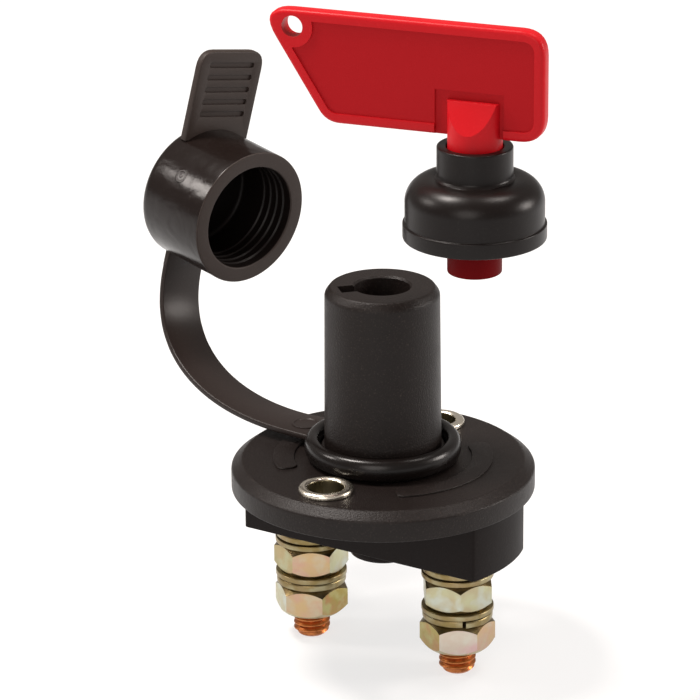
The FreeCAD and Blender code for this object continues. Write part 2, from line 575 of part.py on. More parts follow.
def inner_nodes():
    bridge_top = BRIDGE_BOTTOM + BRIDGE_T + SPRING_SLACK
    return {
        "rotor": rotor(),
        "rotor_seal": rotor_seal(),
        "pusher": pusher(),
        "contact_bridge": contact_bridge(),
        "retaining_clip": retaining_clip(),
        "contact_spring": coil_spring(bridge_top, -PUSHER_DISC_T - SPRING_SLACK, **CONTACT_SPRING),
        "return_spring": coil_spring(SPRING_WELL_FLOOR + SPRING_SLACK, SHANK_BOTTOM - SPRING_SLACK,
                                     **RETURN_SPRING),
    }


def all_nodes():
    nodes = {
        "upper_housing": upper_housing(),
        "terminal_block": terminal_block(),
        "block_gasket": block_gasket(),
        "housing_screws": Part.makeCompound([housing_screw(x, y) for x, y in screw_places()]),
        "eyelet_front": mounting_eyelet(-EYELET_Y),
        "eyelet_rear": mounting_eyelet(EYELET_Y),
        "tether_collar": tether_collar(),
        "tether_strap": tether_strap(),
        "dust_cap": dust_cap(),
        "key": key(),
        "key_boot": key_boot(),
    }
    nodes.update(stud_nodes())
    nodes.update(inner_nodes())
    return nodes


def main():
    os.makedirs("parts", exist_ok=True)
    for name, shape in all_nodes().items():
        print(f"{name:26s} solids {len(shape.Solids)} valid {shape.isValid()} volume {shape.Volume:9.1f}")
        shape.exportStep(f"parts/{name}.step")


main()
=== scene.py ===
import math

import bmesh
import bpy
from mathutils import Matrix, Vector


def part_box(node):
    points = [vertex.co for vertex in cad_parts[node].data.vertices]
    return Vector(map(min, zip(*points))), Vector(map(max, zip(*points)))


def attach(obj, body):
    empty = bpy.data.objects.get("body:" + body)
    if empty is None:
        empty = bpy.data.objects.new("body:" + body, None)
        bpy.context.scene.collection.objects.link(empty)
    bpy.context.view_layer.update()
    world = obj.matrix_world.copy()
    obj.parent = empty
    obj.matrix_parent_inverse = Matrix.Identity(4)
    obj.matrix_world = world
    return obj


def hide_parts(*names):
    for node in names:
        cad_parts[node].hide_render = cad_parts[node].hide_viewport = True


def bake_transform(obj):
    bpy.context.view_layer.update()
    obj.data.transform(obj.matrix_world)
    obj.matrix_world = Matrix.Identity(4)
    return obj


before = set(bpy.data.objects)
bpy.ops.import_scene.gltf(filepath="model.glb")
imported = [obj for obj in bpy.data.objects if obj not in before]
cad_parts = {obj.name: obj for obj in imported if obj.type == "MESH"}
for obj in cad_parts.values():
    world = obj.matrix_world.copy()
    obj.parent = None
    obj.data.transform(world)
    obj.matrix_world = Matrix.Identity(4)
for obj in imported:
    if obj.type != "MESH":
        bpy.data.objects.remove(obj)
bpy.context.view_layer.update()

# ---- sizes, in millimetres; the origin is the centre of the flange's top face ----

MM = 0.001
ROUND_STEPS = 120
MERGE_DISTANCE = 1e-4

FLANGE_LOW, FLANGE_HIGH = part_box("upper_housing")
FLANGE_R = FLANGE_HIGH.x / MM
FLANGE_BOTTOM = FLANGE_LOW.z / MM
BARREL_TOP = FLANGE_HIGH.z / MM
FLANGE_TOP_R, FLANGE_BEVEL = 36.5, 2.1
ROOT_R, ROOT_H = 16.0, 3.5
BARREL_FOOT_R, BARREL_TOP_R, BARREL_FACE_R, BARREL_BEVEL = 15.15, 14.8, 13.4, 1.9
PAD_IN_R, PAD_OUT_R, PAD_H, PAD_HALF_DEG, PAD_CORNER = 23.0, 28.5, 0.5, 51.0, 2.2
BORE_R, SLOT_W, SLOT_REACH, SLOT_DEG = 7.2, 4.8, 11.3, 227.0
CHAMBER_R, CHAMBER_TOP, TRACK_LOW = 10.5, 22.3, 34.5

BLOCK_LOW, BLOCK_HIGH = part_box("terminal_block")
BLOCK_W = (BLOCK_HIGH.y - BLOCK_LOW.y) / MM
BLOCK_END_R = BLOCK_HIGH.x / MM
BLOCK_BOTTOM, BOSS_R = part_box("base_washers")[1].z / MM, 9.0
BOSS_BOTTOM = BLOCK_LOW.z / MM
RECESS_GAP, RECESS_H = 0.2, 0.8
POCKET_HALF_W, POCKET_HALF_L, POCKET_FLOOR, HEAD_POCKET_R = 6.8, 29.5, -15.0, 8.6
WELL_R, WELL_FLOOR = 5.8, -22.4
SCREW_X, SCREW_Y, SCREW_R, SCREW_HEAD_R, SCREW_HEAD_H = 12.3, 9.2, 1.75, 2.9, 2.4
SCREW_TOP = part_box("housing_screws")[1].z / MM

STUD_LOW, STUD_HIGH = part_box("stud_right")
STUD_X = (STUD_LOW.x + STUD_HIGH.x) / 2 / MM
STUD_TIP, HEAD_TOP = STUD_LOW.z / MM, STUD_HIGH.z / MM
STUD_R, CREST_R, THREAD_DEPTH, THREAD_PITCH, TIP_BEVEL = 5.0, 4.8, 0.8, 1.5, 1.3
HEAD_R, HEAD_T = 8.0, 2.5
WASHER_R, WASHER_HOLE_R = 9.4, 5.25
LOCK_R, LOCK_HOLE_R = 9.15, 5.1

EYELET_RIM_R, EYELET_BORE_R, EYELET_TUBE_R = 7.0, 4.6, 5.2
EYELET_RIM_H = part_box("eyelet_rear")[1].z / MM
EYELET_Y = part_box("eyelet_rear")[0].y / MM + EYELET_RIM_R

COLLAR_IN_R, COLLAR_R, COLLAR_CREST_R, COLLAR_LOW, COLLAR_TOP = 16.3, 20.3, 18.0, 0.3, 6.3
STRAP_W, STRAP_T, STRAP_DEG, STRAP_Z = 13.3, 1.6, 177.0, 2.9
STRAP_HIDDEN_R, STRAP_ROOT_R, STRAP_ROOT_PULL, STRAP_CAP_PULL = 17.9, 27.0, 28.0, 24.0
STRAP_SLICES = 70
MARK_AT_R, MARK_R = 24.6, 3.7

CAP_END = Vector((-76.0, 26.2, 52.9))
CAP_TURN_DEG, CAP_TILT_DEG, CAP_ROLL_DEG = -16.7, -6.1, 11.5
CAP_R, CAP_DEPTH, CAP_MOUTH_R, CAP_HOLLOW = 18.2, 24.0, 14.1, 20.0
SEAL_RIBS, SEAL_RIB_H, SEAL_RIB_PITCH, SEAL_RIB_FROM_RIM = 4, 0.45, 2.6, 3.2
CAP_LUG, CAP_LUG_Z = 3.0, 1.6
TAB_W, TAB_REACH, TAB_Z, TAB_T, TAB_CORNER_R = 22.0, 40.0, 2.7, 2.3, 3.2
GROOVES, GROOVE_L, GROOVE_W, GROOVE_PITCH, GROOVE_FROM_END, GROOVE_DEPTH = 5, 15.6, 1.5, 3.41, 3.9, 0.6

BOOT_LOW, BOOT_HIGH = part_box("key_boot")
HOVER = Vector(((BOOT_LOW.x + BOOT_HIGH.x) / 2, (BOOT_LOW.y + BOOT_HIGH.y) / 2, BOOT_LOW.z)) / MM
BOOT_SKIRT_R, BOOT_SKIRT_H, BOOT_DOME_R, BOOT_INNER_R = 17.95, 4.05, 17.4, 15.3
BOOT_SHOULDER, BOOT_DOME_TOP, BOOT_WALL = 9.7, 15.6, 2.1
BOOT_NECK_R, BOOT_NECK_IN_R, BOOT_H = 9.5, 7.15, 23.85
FLAG_DEG = 192.0
GATE_DEG, GATE_Z, GATE_R = 64.0, 12.0, 2.1
FRONT_DEG, FRONT_SPREAD_DEG = -57.6, 20
STEM_R, STEM_TIP, STEM_FACE_TOP, STEM_FACE_BOTTOM, STEM_FACE_HALF = 6.85, -9.0, 35.4, 28.0, 2.6
CUTTER_REACH = 12
DRIVE_SLOT_W, DRIVE_SLOT_L, DRIVE_SLOT_DEPTH = 3.5, 10.6, 3.0
KEY_LUG_W, KEY_LUG_REACH, KEY_LUG_LOW, KEY_LUG_H = 4.4, 11.0, 1.8, 6.0
FLAG_LOW, FLAG_TOP, FLAG_T = 26.3, 54.6, 4.4
FLAG_NEAR, FLAG_FAR_TOP, FLAG_FAR_BOTTOM = -18.4, 56.3, 38.5
FLAG_CORNER_R, FLAG_TIP_R, FLAG_BORDER, FLAG_RECESS = 5.2, 5.5, 2.6, 0.5
HOLE_X, HOLE_Z, HOLE_R, HOLE_RING = 47.0, 50.3, 2.75, 2.6
WINDOW_FAR, WINDOW_NEAR, WINDOW_TOP, WINDOW_RECESS = 9.9, -7.95, 37.8, 1.1


# ---- mesh helpers ----

def polar(radius, degrees, z=0.0):
    angle = math.radians(degrees)
    return Vector((radius * math.cos(angle), radius * math.sin(angle), z))


def softened(points, steps=4):
    """Outline with rounded corners: a point given as (a, b, cut) loses its corner over that length."""
    result = []
    count = len(points)
    for i, point in enumerate(points):
        here = Vector(point[:2])
        if len(point) == 2:
            result.append(here)
            continue
        before, after = Vector(points[i - 1][:2]), Vector(points[(i + 1) % count][:2])
        cut = min(point[2], (before - here).length * 0.49, (after - here).length * 0.49)
        start = here + (before - here).normalized() * cut
        end = here + (after - here).normalized() * cut
        for k in range(steps + 1):
            share = k / steps
            result.append(start * (1 - share) ** 2 + here * 2 * share * (1 - share) + end * share ** 2)
    return result


def arc_through(start, middle, end, steps=12):
    """Points of the circle's arc from start over middle to end, without the start."""
    a, b, c = Vector(start), Vector(middle), Vector(end)
    aa, bb, cc = a.length_squared, b.length_squared, c.length_squared
    d = 2 * (a.x * (b.y - c.y) + b.x * (c.y - a.y) + c.x * (a.y - b.y))
    centre = Vector((
        (aa * (b.y - c.y) + bb * (c.y - a.y) + cc * (a.y - b.y)) / d,
        (aa * (c.x - b.x) + bb * (a.x - c.x) + cc * (b.x - a.x)) / d,
    ))
    first = (a - centre).angle_signed(c - centre)
    half = (a - centre).angle_signed(b - centre)
    if first * half < 0:
        first -= math.copysign(math.tau, first)
    return [tuple(centre + Matrix.Rotation(-first * k / steps, 2) @ (a - centre))
            for k in range(1, steps + 1)]


def lathe(points, steps=ROUND_STEPS, rounding=4):
    """Closed solid of revolution about Z from an outline of (radius, height) points."""
    bm = bmesh.new()
    verts = [bm.verts.new((p.x, 0, p.y)) for p in softened(points, rounding)]
    edges = [bm.edges.new((a, b)) for a, b in zip(verts, verts[1:] + verts[:1])]
    bmesh.ops.spin(bm, geom=verts + edges, cent=(0, 0, 0), axis=(0, 0, 1), angle=math.tau, steps=steps,
                   use_merge=True, use_duplicate=False)
    bmesh.ops.remove_doubles(bm, verts=bm.verts[:], dist=MERGE_DISTANCE)
    bmesh.ops.delete(bm, geom=[e for e in bm.edges if e.is_wire], context="EDGES")
    bmesh.ops.recalc_face_normals(bm, faces=bm.faces[:])
    return bm


def prism(points, low, high, rounding=5):
    """Upright solid whose plan is an outline of (x, y) points."""
    bm = bmesh.new()
    verts = [bm.verts.new((p.x, p.y, low)) for p in softened(points, rounding)]
    base = bm.faces.new(verts)
    grown = bmesh.ops.extrude_face_region(bm, geom=[base])
    top = [v for v in grown["geom"] if isinstance(v, bmesh.types.BMVert)]
    bmesh.ops.translate(bm, verts=top, vec=(0, 0, high - low))
    bmesh.ops.recalc_face_normals(bm, faces=bm.faces[:])
    return bm


def slab(size_x, size_y, low, high, x=0.0, y=0.0):
    bm = bmesh.new()
    bmesh.ops.create_cube(bm, size=1.0)
    bmesh.ops.scale(bm, verts=bm.verts[:], vec=(size_x, size_y, high - low))
    bmesh.ops.translate(bm, verts=bm.verts[:], vec=(x, y, (low + high) / 2))
    return bm


def drum(radius, low, high, x=0.0, y=0.0, steps=64):
    bm = lathe([(0, low), (radius, low), (radius, high), (0, high)], steps)
    return shifted(bm, x, y, 0)


def shifted(bm, x=0.0, y=0.0, z=0.0):
    bmesh.ops.translate(bm, verts=bm.verts[:], vec=(x, y, z))
    return bm


def spun(bm, degrees):
    turn = Matrix.Rotation(math.radians(degrees), 3, "Z")
    bmesh.ops.rotate(bm, verts=bm.verts[:], cent=(0, 0, 0), matrix=turn)
    return bm


def placed(bm, matrix):
    bmesh.ops.transform(bm, matrix=matrix, verts=bm.verts[:])
    return bm


def sharp_edges(bm, degrees):
    return [e for e in bm.edges if len(e.link_faces) == 2 and e.calc_face_angle(0) > math.radians(degrees)]


def beveled(bm, width, degrees=35, segments=3, keep=None):
    """Round the edges that turn by more than degrees; keep picks among them."""
    edges = [e for e in sharp_edges(bm, degrees) if keep is None or keep(e)]
    bmesh.ops.bevel(bm, geom=edges, offset=width, offset_type="OFFSET", segments=segments, profile=0.5,
                    affect="EDGES", clamp_overlap=True, material=-1)
    return bm


def joined(first, *others):
    """One bmesh that holds the faces of all of them."""
    for other in others:
        held = bpy.data.meshes.new("held")
        other.to_mesh(held)
        other.free()
        first.from_mesh(held)
        bpy.data.meshes.remove(held)
    return first


def object_from(bm, name):
    mesh = bpy.data.meshes.new(name)
    bm.to_mesh(mesh)
    bm.free()
    piece = bpy.data.objects.new(name, mesh)
    bpy.context.scene.collection.objects.link(piece)
    return piece


def carved(bm, cutters, operation="DIFFERENCE"):
    """The solid with the cutters taken away, or added where operation is UNION.

    The manifold solver is used because the exact one now and then gives an empty result here.
    """
    body = object_from(bm, "carving_body")
    tools = [object_from(cutter, "carving_tool") for cutter in cutters]
    for tool in tools:
        step = body.modifiers.new("carve", "BOOLEAN")
        step.operation, step.solver, step.object = operation, "MANIFOLD", tool
    bpy.context.view_layer.update()
    finished = body.evaluated_get(bpy.context.evaluated_depsgraph_get())
    result = bpy.data.meshes.new_from_object(finished)
    done = bmesh.new()
    done.from_mesh(result)
    bpy.data.meshes.remove(result)
    for used in [body] + tools:
        mesh = used.data
        bpy.data.objects.remove(used)
        bpy.data.meshes.remove(mesh)
    bmesh.ops.remove_doubles(done, verts=done.verts[:], dist=MERGE_DISTANCE)
    if done.calc_volume() <= 0 or any(len(edge.link_faces) != 2 for edge in done.edges):
        raise RuntimeError("a carved solid came out empty or open")
    return done


def cad_copy(node):
    """The merged mesh of a CAD node, in millimetres."""
    bm = bmesh.new()
    bm.from_mesh(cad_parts[node].data)
    bmesh.ops.scale(bm, verts=bm.verts[:], vec=(1 / MM,) * 3)
    bmesh.ops.remove_doubles(bm, verts=bm.verts[:], dist=MERGE_DISTANCE)
    bmesh.ops.dissolve_limit(bm, angle_limit=math.radians(0.5), verts=bm.verts[:], edges=bm.edges[:])
    return bm


def piece(bm, name, body, material, slot, nodes=(), smooth_deg=35):
    """Finish a piece: metres, smooth shading, material, and the CAD body and nodes it belongs to."""
    bmesh.ops.scale(bm, verts=bm.verts[:], vec=(MM,) * 3)
    result = object_from(bm, name)
    result.data.shade_smooth()
    result.data.set_sharp_from_angle(angle=math.radians(smooth_deg))
    for one in material if isinstance(material, (list, tuple)) else [material]:
        result.data.materials.append(one)
    if body:
        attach(result, body)
    if nodes:
        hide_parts(*nodes)
    return result


# ---- shader node groups ----

def new_group(name, inputs, outputs):
    group = bpy.data.node_groups.new(name, "ShaderNodeTree")
    for label, kind, value in inputs:
        socket = group.interface.new_socket(label, in_out="INPUT", socket_type=kind)
        socket.default_value = value
    for label, kind in outputs:
        group.interface.new_socket(label, in_out="OUTPUT", socket_type=kind)
    return group, group.nodes.new("NodeGroupInput"), group.nodes.new("NodeGroupOutput")


def maths(tree, operation, a, b):
    node = tree.nodes.new("ShaderNodeMath")
    node.operation = operation
    for socket, value in zip(node.inputs, (a, b)):
        if isinstance(value, (int, float)):
            socket.default_value = value
        else:
            tree.links.new(value, socket)
    return node.outputs[0]


def noise(tree, vector, scale, detail=3.0, rough=0.5, distortion=0.0):
    node = tree.nodes.new("ShaderNodeTexNoise")
    node.inputs["Detail"].default_value = detail
    node.inputs["Roughness"].default_value = rough
    node.inputs["Distortion"].default_value = distortion
    if isinstance(scale, (int, float)):
        node.inputs["Scale"].default_value = scale
    else:
        tree.links.new(scale, node.inputs["Scale"])
    tree.links.new(vector, node.inputs["Vector"])
    return node.outputs["Fac"]


def ramp(tree, value, low, high, out_low=0.0, out_high=1.0):
    node = tree.nodes.new("ShaderNodeMapRange")
    node.clamp = True
    for label, number in (("From Min", low), ("From Max", high), ("To Min", out_low), ("To Max", out_high)):
        node.inputs[label].default_value = number
    tree.links.new(value, node.inputs["Value"])
    return node.outputs["Result"]


def mix_colour(tree, share, a, b):
    node = tree.nodes.new("ShaderNodeMix")
    node.data_type = "RGBA"
    for socket, value in ((node.inputs["Factor"], share), (node.inputs["A"], a), (node.inputs["B"], b)):
        if isinstance(value, (int, float)):
            socket.default_value = value
        elif isinstance(value, tuple):
            socket.default_value = (*value, 1.0)
        else:
            tree.links.new(value, socket)
    return node.outputs["Result"]


def moulded_group():
    """Grain and faint flow marks of a moulded part: a bump height, a tint share and a roughness."""
    group, given, out = new_group(
        "moulded surface",
        [("Vector", "NodeSocketVector", (0, 0, 0)), ("Grain Size", "NodeSocketFloat", 2500.0),
         ("Base Roughness", "NodeSocketFloat", 0.4), ("Roughness Spread", "NodeSocketFloat", 0.1),
         ("Waviness", "NodeSocketFloat", 0.0)],
        [("Height", "NodeSocketFloat"), ("Tint", "NodeSocketFloat"), ("Roughness", "NodeSocketFloat")])
    vector = given.outputs["Vector"]
    fine = noise(group, vector, given.outputs["Grain Size"], 2.0, 0.6)
    broad = noise(group, vector, 90.0, 3.0, 0.55, 0.6)
    slow = noise(group, vector, 130.0, 1.0, 0.4, 1.2)
    height = maths(group, "ADD", fine, maths(group, "MULTIPLY", broad, 0.35))
    height = maths(group, "ADD", height, maths(group, "MULTIPLY", slow, given.outputs["Waviness"]))
    uneven = maths(group, "SUBTRACT", broad, 0.5)
    spread = maths(group, "MULTIPLY", uneven, given.outputs["Roughness Spread"])
    speck = ramp(group, fine, 0.58, 0.74)
    group.links.new(height, out.inputs["Height"])
    group.links.new(speck, out.inputs["Tint"])
    group.links.new(maths(group, "ADD", given.outputs["Base Roughness"], spread), out.inputs["Roughness"])
    return group


def plated_group():
    """Rainbow tints of yellow zinc plate: two slow masks, a roughness and a bump height."""
    group, given, out = new_group(
        "plated surface",
        [("Vector", "NodeSocketVector", (0, 0, 0)), ("Patch Size", "NodeSocketFloat", 120.0)],
        [("Warm", "NodeSocketFloat"), ("Pale", "NodeSocketFloat"), ("Roughness", "NodeSocketFloat"),
         ("Height", "NodeSocketFloat")])
    vector = given.outputs["Vector"]
    first = noise(group, vector, given.outputs["Patch Size"], 2.0, 0.5, 0.4)
    second = noise(group, vector, maths(group, "MULTIPLY", given.outputs["Patch Size"], 1.7), 2.0, 0.5, 0.2)
    fine = noise(group, vector, 1800.0, 3.0, 0.6)
    group.links.new(ramp(group, first, 0.40, 0.62), out.inputs["Warm"])
    group.links.new(ramp(group, second, 0.45, 0.68), out.inputs["Pale"])
    group.links.new(ramp(group, fine, 0.3, 0.7, 0.30, 0.42), out.inputs["Roughness"])
    group.links.new(fine, out.inputs["Height"])
    return group


MOULDED = moulded_group()
PLATED = plated_group()


def new_material(name):
    material = bpy.data.materials.new(name)
    material.use_nodes = True
    tree = material.node_tree
    shader = tree.nodes["Principled BSDF"]
    coords = tree.nodes.new("ShaderNodeTexCoord").outputs["Object"]
    return material, tree, shader, coords


def placed_group(tree, group, coords, **values):
    node = tree.nodes.new("ShaderNodeGroup")
    node.node_tree = group
    tree.links.new(coords, node.inputs["Vector"])
    for label, value in values.items():
        node.inputs[label.replace("_", " ")].default_value = value
    return node


def bump(tree, shader, height, strength, distance):
    node = tree.nodes.new("ShaderNodeBump")
    node.inputs["Strength"].default_value = strength
    node.inputs["Distance"].default_value = distance
    tree.links.new(height, node.inputs["Height"])
    tree.links.new(node.outputs["Normal"], shader.inputs["Normal"])


def moulded_material(name, colour, speck, roughness, spread=0.12, grain=2500.0, relief=0.12, specular=0.5,
                     wave=0.0):
    """Moulded plastic or rubber: base colour with light specks, grain, uneven gloss and slow waviness."""
    material, tree, shader, coords = new_material(name)
    surface = placed_group(tree, MOULDED, coords, Grain_Size=grain, Base_Roughness=roughness,
                           Roughness_Spread=spread, Waviness=wave)
    tree.links.new(mix_colour(tree, surface.outputs["Tint"], colour, speck), shader.inputs["Base Color"])
    tree.links.new(surface.outputs["Roughness"], shader.inputs["Roughness"])
    shader.inputs["Specular IOR Level"].default_value = specular
    bump(tree, shader, surface.outputs["Height"], relief, 0.0002)
    return material


def plated_material(name, olive, warm, pale, patch):
    material, tree, shader, coords = new_material(name)
    surface = placed_group(tree, PLATED, coords, Patch_Size=patch)
    tint = mix_colour(tree, surface.outputs["Warm"], olive, warm)
    tint = mix_colour(tree, surface.outputs["Pale"], tint, pale)
    tree.links.new(tint, shader.inputs["Base Color"])
    tree.links.new(surface.outputs["Roughness"], shader.inputs["Roughness"])
    shader.inputs["Metallic"].default_value = 1.0
    bump(tree, shader, surface.outputs["Height"], 0.15, 0.0001)
    return material


def metal_material(name, colour, stain, roughness_low, roughness_high, scale=700.0, relief=0.1):
    material, tree, shader, coords = new_material(name)
    grain = noise(tree, coords, scale, 4.0, 0.6)
    tint = mix_colour(tree, ramp(tree, grain, 0.45, 0.7), colour, stain)
    tree.links.new(tint, shader.inputs["Base Color"])
    tree.links.new(ramp(tree, grain, 0.3, 0.7, roughness_low, roughness_high), shader.inputs["Roughness"])
    shader.inputs["Metallic"].default_value = 1.0
    bump(tree, shader, grain, relief, 0.0001)
    return material


BLACK_NYLON = moulded_material(
    "black_nylon", (0.0085, 0.0058, 0.0051), (0.028, 0.021, 0.018), 0.42,
    spread=0.16, grain=2300.0, relief=0.60, specular=0.20)
BLACK_NYLON_SMOOTH = moulded_material(
    "black_nylon_smooth", (0.0065, 0.0042, 0.0038), (0.012, 0.009, 0.008), 0.50,
    spread=0.10, grain=1800.0, relief=0.20, specular=0.10)
GLOSSY_RUBBER = moulded_material(
    "glossy_rubber", (0.0050, 0.0034, 0.0030), (0.009, 0.007, 0.006), 0.27,
    spread=0.10, grain=1500.0, relief=0.05, specular=0.28)
CAP_RUBBER = moulded_material(
    "cap_rubber", (0.0085, 0.0054, 0.0046), (0.013, 0.009, 0.008), 0.20,
    spread=0.14, grain=1500.0, relief=0.10, specular=0.24, wave=9.0)
# painted reflection: a lighter rubber for the cap's rim and tab faces, which turn toward the front,
# standing in for the light they reflect; its higher roughness is a duller finish
SATIN_RUBBER_PAINTED_REFLECTION = moulded_material(
    "satin_rubber_painted_reflection", (0.0300, 0.0215, 0.0185), (0.038, 0.028, 0.025), 0.50,
    spread=0.14, grain=1500.0, relief=0.08, specular=0.20)
STRAP_RUBBER = moulded_material(
    "strap_rubber", (0.0160, 0.0108, 0.0094), (0.022, 0.016, 0.014), 0.38,
    spread=0.14, grain=1500.0, relief=0.06, specular=0.22)
# painted shade: a darker rubber for the hollow inside the cap
RUBBER_PAINTED_SHADE = moulded_material(
    "rubber_painted_shade", (0.0050, 0.0032, 0.0028), (0.009, 0.007, 0.006), 0.42,
    spread=0.10, grain=1500.0, relief=0.05, specular=0.18)
BOOT_RUBBER = moulded_material(
    "boot_rubber", (0.0058, 0.0038, 0.0034), (0.010, 0.008, 0.007), 0.32,
    spread=0.14, grain=1600.0, relief=0.07, specular=0.20)
RED_GLOSS = moulded_material(
    "red_gloss", (0.46, 0.0050, 0.0095), (0.49, 0.007, 0.012), 0.38,
    spread=0.08, grain=1200.0, relief=0.05, specular=0.14)
RED_PANEL = moulded_material(
    "red_panel", (0.35, 0.0045, 0.0080), (0.38, 0.006, 0.010), 0.50,
    spread=0.08, grain=2600.0, relief=0.15, specular=0.10)
RED_SHADED = moulded_material(
    "red_shaded", (0.10, 0.0008, 0.0018), (0.11, 0.001, 0.002), 0.45,
    spread=0.08, grain=1800.0, relief=0.10, specular=0.04)
GASKET = moulded_material("gasket_rubber", (0.02, 0.02, 0.02), (0.03, 0.03, 0.03), 0.7, spread=0.1)
NATURAL_NYLON = moulded_material("natural_nylon", (0.66, 0.62, 0.52), (0.72, 0.68, 0.58), 0.45, spread=0.1)

ZINC_OLIVE = plated_material(
    "zinc_olive", olive=(0.36, 0.31, 0.15), warm=(0.42, 0.33, 0.17), pale=(0.42, 0.40, 0.24), patch=150.0)
ZINC_PINK = plated_material(
    "zinc_pink", olive=(0.52, 0.37, 0.20), warm=(0.52, 0.33, 0.24), pale=(0.50, 0.41, 0.28), patch=150.0)
ZINC_PALE = plated_material(
    "zinc_pale", olive=(0.48, 0.47, 0.30), warm=(0.44, 0.38, 0.24), pale=(0.50, 0.52, 0.44), patch=150.0)
ZINC_BRONZE = plated_material(
    "zinc_bronze", olive=(0.38, 0.30, 0.10), warm=(0.44, 0.26, 0.12), pale=(0.44, 0.40, 0.18), patch=170.0)
ZINC_ROSE = plated_material(
    "zinc_rose", olive=(0.54, 0.46, 0.38), warm=(0.58, 0.40, 0.38), pale=(0.56, 0.52, 0.44), patch=150.0)
# painted shade: near-black zinc for the nuts' upward chamfers, standing in for the dark block above
# reflected in them
ZINC_PAINTED_SHADE = plated_material(
    "zinc_painted_shade", olive=(0.16, 0.12, 0.05), warm=(0.20, 0.14, 0.07), pale=(0.24, 0.20, 0.12), patch=170.0)
# painted shade: a darker zinc for the washers, which sit in shade under the block and between the nuts
ZINC_WASHER_PAINTED_SHADE = plated_material(
    "zinc_washer", olive=(0.24, 0.18, 0.075), warm=(0.28, 0.21, 0.11), pale=(0.34, 0.30, 0.18), patch=160.0)

COPPER = metal_material("copper", (0.52, 0.185, 0.062), (0.30, 0.095, 0.03), 0.30, 0.45)
NICKEL = metal_material(
    "nickel", (0.90, 0.84, 0.72), (0.78, 0.72, 0.60), 0.20, 0.30, scale=300.0, relief=0.03)
NICKEL_SHADED = metal_material(
    "nickel_shaded", (0.22, 0.19, 0.12), (0.15, 0.13, 0.08), 0.25, 0.40, scale=300.0, relief=0.03)
SPRING_STEEL = metal_material("spring_steel", (0.5, 0.5, 0.48), (0.36, 0.36, 0.35), 0.25, 0.4)
ZINC_STEEL = metal_material("zinc_steel", (0.62, 0.62, 0.6), (0.48, 0.48, 0.46), 0.25, 0.4)


# ---- switch body ----

def keyhole_cutters():
    mouth = lathe([(0, CHAMBER_TOP - 1), (BORE_R, CHAMBER_TOP - 1), (BORE_R, BARREL_TOP - 0.5),
                   (BORE_R + 1.0, BARREL_TOP + 0.5), (0, BARREL_TOP + 0.5)], 72)
    slot = slab(SLOT_REACH, SLOT_W, TRACK_LOW, BARREL_TOP + 1, SLOT_REACH / 2)
    chamber = drum(CHAMBER_R, FLANGE_BOTTOM - 1, CHAMBER_TOP)
    return [mouth, spun(slot, SLOT_DEG), chamber]


def screw_places():
    return [(sx * SCREW_X, sy * SCREW_Y) for sx in (-1, 1) for sy in (-1, 1)]


def block_prism(low, high, grow=0.0, corner=0.0):
    """Plan shape of the terminal block, a bar whose ends are arcs, between two heights."""
    plan = []
    half, end_r = BLOCK_W / 2 + grow, BLOCK_END_R + grow
    reach_deg = math.degrees(math.asin(half / end_r))
    for turn in (0, 180):
        for i in range(17):
            spot = polar(end_r, turn + reach_deg * (i / 8 - 1))
            plan.append((spot.x, spot.y, corner) if i in (0, 16) else (spot.x, spot.y))
    return prism(plan, low, high)


def kidney_pad(side_deg):
    """Low raised pad that follows the flange's edge, with rounded corners and a soft top edge."""
    plan = []
    for radius, way in ((PAD_OUT_R, 1), (PAD_IN_R, -1)):
        clear_deg = PAD_HALF_DEG - math.degrees(2.1 * PAD_CORNER / radius)
        inner = [clear_deg * (k / 20 - 1) for k in range(41)]
        for degrees in [-PAD_HALF_DEG] + inner + [PAD_HALF_DEG]:
            spot = polar(radius, degrees * way)
            at_end = abs(abs(degrees) - PAD_HALF_DEG) < 1e-6
            plan.append((spot.x, spot.y, PAD_CORNER) if at_end else (spot.x, spot.y))
    bm = prism(plan, -0.3, PAD_H, 6)
    beveled(bm, 0.22, 50, 3, lambda e: min(v.co.z for v in e.verts) > PAD_H - 0.01)
    return spun(bm, side_deg)


def make_housing():
    body = lathe([
        (0, FLANGE_BOTTOM), (FLANGE_R, FLANGE_BOTTOM, 0.35), (FLANGE_R, -FLANGE_BEVEL, 0.5),
        (FLANGE_TOP_R, 0, 0.5), (ROOT_R, 0), (ROOT_R, ROOT_H, 0.3), (BARREL_FOOT_R, ROOT_H),
        (BARREL_TOP_R, BARREL_TOP - BARREL_BEVEL, 0.7), (BARREL_FACE_R, BARREL_TOP, 0.5), (0, BARREL_TOP),
    ], 160, 5)
    below = FLANGE_BOTTOM - 1
    cuts = keyhole_cutters() + [block_prism(below, FLANGE_BOTTOM + RECESS_H, RECESS_GAP)]
    cuts += [drum(EYELET_TUBE_R, below, 1, 0, y) for y in (-EYELET_Y, EYELET_Y)]
    cuts += [drum(SCREW_R, below, SCREW_TOP, x, y, 24) for x, y in screw_places()]
    body = carved(body, cuts)
    body = joined(body, kidney_pad(0), kidney_pad(180))
    return piece(body, "housing_moulding", "switch_body", BLACK_NYLON, "black_nylon", ["upper_housing"])


def make_eyelets():
    middle, half = (EYELET_BORE_R + EYELET_RIM_R) / 2, (EYELET_RIM_R - EYELET_BORE_R) / 2
    roll = []
    for k in range(15):
        angle = math.pi * k / 14
        roll.append((middle + half * math.cos(angle), EYELET_RIM_H * (0.5 + 0.5 * math.sin(angle))))
    for y, node in ((-EYELET_Y, "eyelet_front"), (EYELET_Y, "eyelet_rear")):
        body = lathe([(EYELET_BORE_R, FLANGE_BOTTOM), (EYELET_TUBE_R, FLANGE_BOTTOM), (EYELET_TUBE_R, 0),
                      (EYELET_RIM_R, 0, 0.3), *roll], 80, 5)
        for face in body.faces:
            if face.calc_center_median().xy.length < EYELET_BORE_R + 0.1:
                face.material_index = 1
        finishes = [NICKEL, NICKEL_SHADED]
        piece(shifted(body, 0, y), node + "_rolled", "switch_body", finishes, "nickel", [node], 60)


